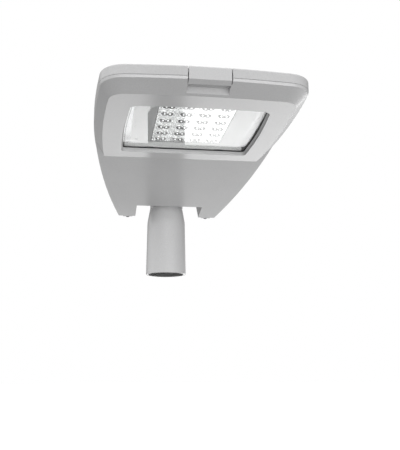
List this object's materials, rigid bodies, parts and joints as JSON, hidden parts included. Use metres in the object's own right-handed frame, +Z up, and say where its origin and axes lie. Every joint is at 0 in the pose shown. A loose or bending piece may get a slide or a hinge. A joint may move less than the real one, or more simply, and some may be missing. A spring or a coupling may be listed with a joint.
{
  "type": "street light head",
  "caption": "Post-top LED street light head: flat die-cast body with a glass window, crowned opening cover with a front latch, and a tilting spigot sleeve.",
  "frame": {"origin": "centre of the spigot sleeve's mouth, where the pole goes in", "axes": "+Z up along the pole, -Y towards the front of the head (the latch), +X to the right seen from the front's back, that is looking along +Y"},
  "size_m": [0.3158, 0.6814, 0.236],
  "materials": {
    "paint": "fine-textured light grey powder coat on a die casting",
    "steel": "stainless, plain",
    "dark_steel": "stainless socket screws, darkened",
    "spring_steel": "spring steel, bright",
    "glass": "clear toughened flat glass",
    "black_rubber": "matt black rubber",
    "grey_rubber": "dark grey silicone foam",
    "bare_aluminium": "as cast and milled",
    "board": "white solder mask",
    "phosphor": "yellow phosphor",
    "lens": "clear moulded lenses",
    "white_plastic": "white moulded plastic",
    "zinc_plate": "zinc plated sheet",
    "driver_case": "light grey moulded case",
    "orange_case": "orange moulded case",
    "terminal": "pale grey moulded block",
    "black_plastic": "black moulded plastic",
    "lead_brown": "brown sleeved lead",
    "lead_blue": "blue sleeved lead",
    "lead_black": "black sleeved lead"
  },
  "bodies": {
    "spigot": {"spigot_sleeve": "paint", "grub_screws": "steel"},
    "housing": {"lower_body": "paint", "clip_screws": "steel", "carrier_screws": "steel", "trim_screws": "steel", "tray_screws": "steel", "driver_screws": "steel", "clamp_screws": "steel", "catch_screws": "steel", "strap_screws": "dark_steel", "tilt_bolt": "steel", "tilt_nut": "steel", "tilt_washers": "steel", "hinge_pins": "steel", "catch_spring": "spring_steel", "hinge_strap_left": "paint", "hinge_strap_right": "paint", "window_glass": "glass", "window_gasket": "black_rubber", "cover_seal": "grey_rubber", "cable_grommet": "black_rubber", "glass_clips": "steel", "led_heat_spreader": "bare_aluminium", "led_board": "board", "led_chips": "phosphor", "lens_plate": "lens", "reflector_trim": "white_plastic", "gear_tray": "zinc_plate", "driver": "driver_case", "surge_protector": "orange_case", "terminal_block": "terminal", "cable_clamp": "black_plastic", "pressure_vent": "black_plastic", "driver_leads": "lead_brown", "surge_leads": "lead_blue", "led_connector": "white_plastic", "led_lead": "lead_black"},
    "cover": {"top_cover": "paint", "latch_pin": "steel", "latch_spring": "spring_steel"},
    "latch": {"latch_lever": "paint"}
  },
  "joints": [
    {"name": "tilt", "type": "hinge", "parent": "spigot", "child": "housing", "pos_m": [0, 0, 0.17], "axis": [-1, 0, 0], "range_deg": [-5, 15]},
    {"name": "cover_open", "type": "hinge", "parent": "housing", "child": "cover", "pos_m": [0, 0.0576, 0.1983], "axis": [-1, 0, 0], "range_deg": [0, 95], "deforming": ["catch_spring"]},
    {"name": "latch_pull", "type": "hinge", "parent": "cover", "child": "latch", "pos_m": [0, -0.6094, 0.2035], "axis": [-1, 0, 0], "range_deg": [0, 30], "stiffness_Nm_per_rad": 0.08, "springref_deg": -20.05, "deforming": ["latch_spring"]}
  ]
}
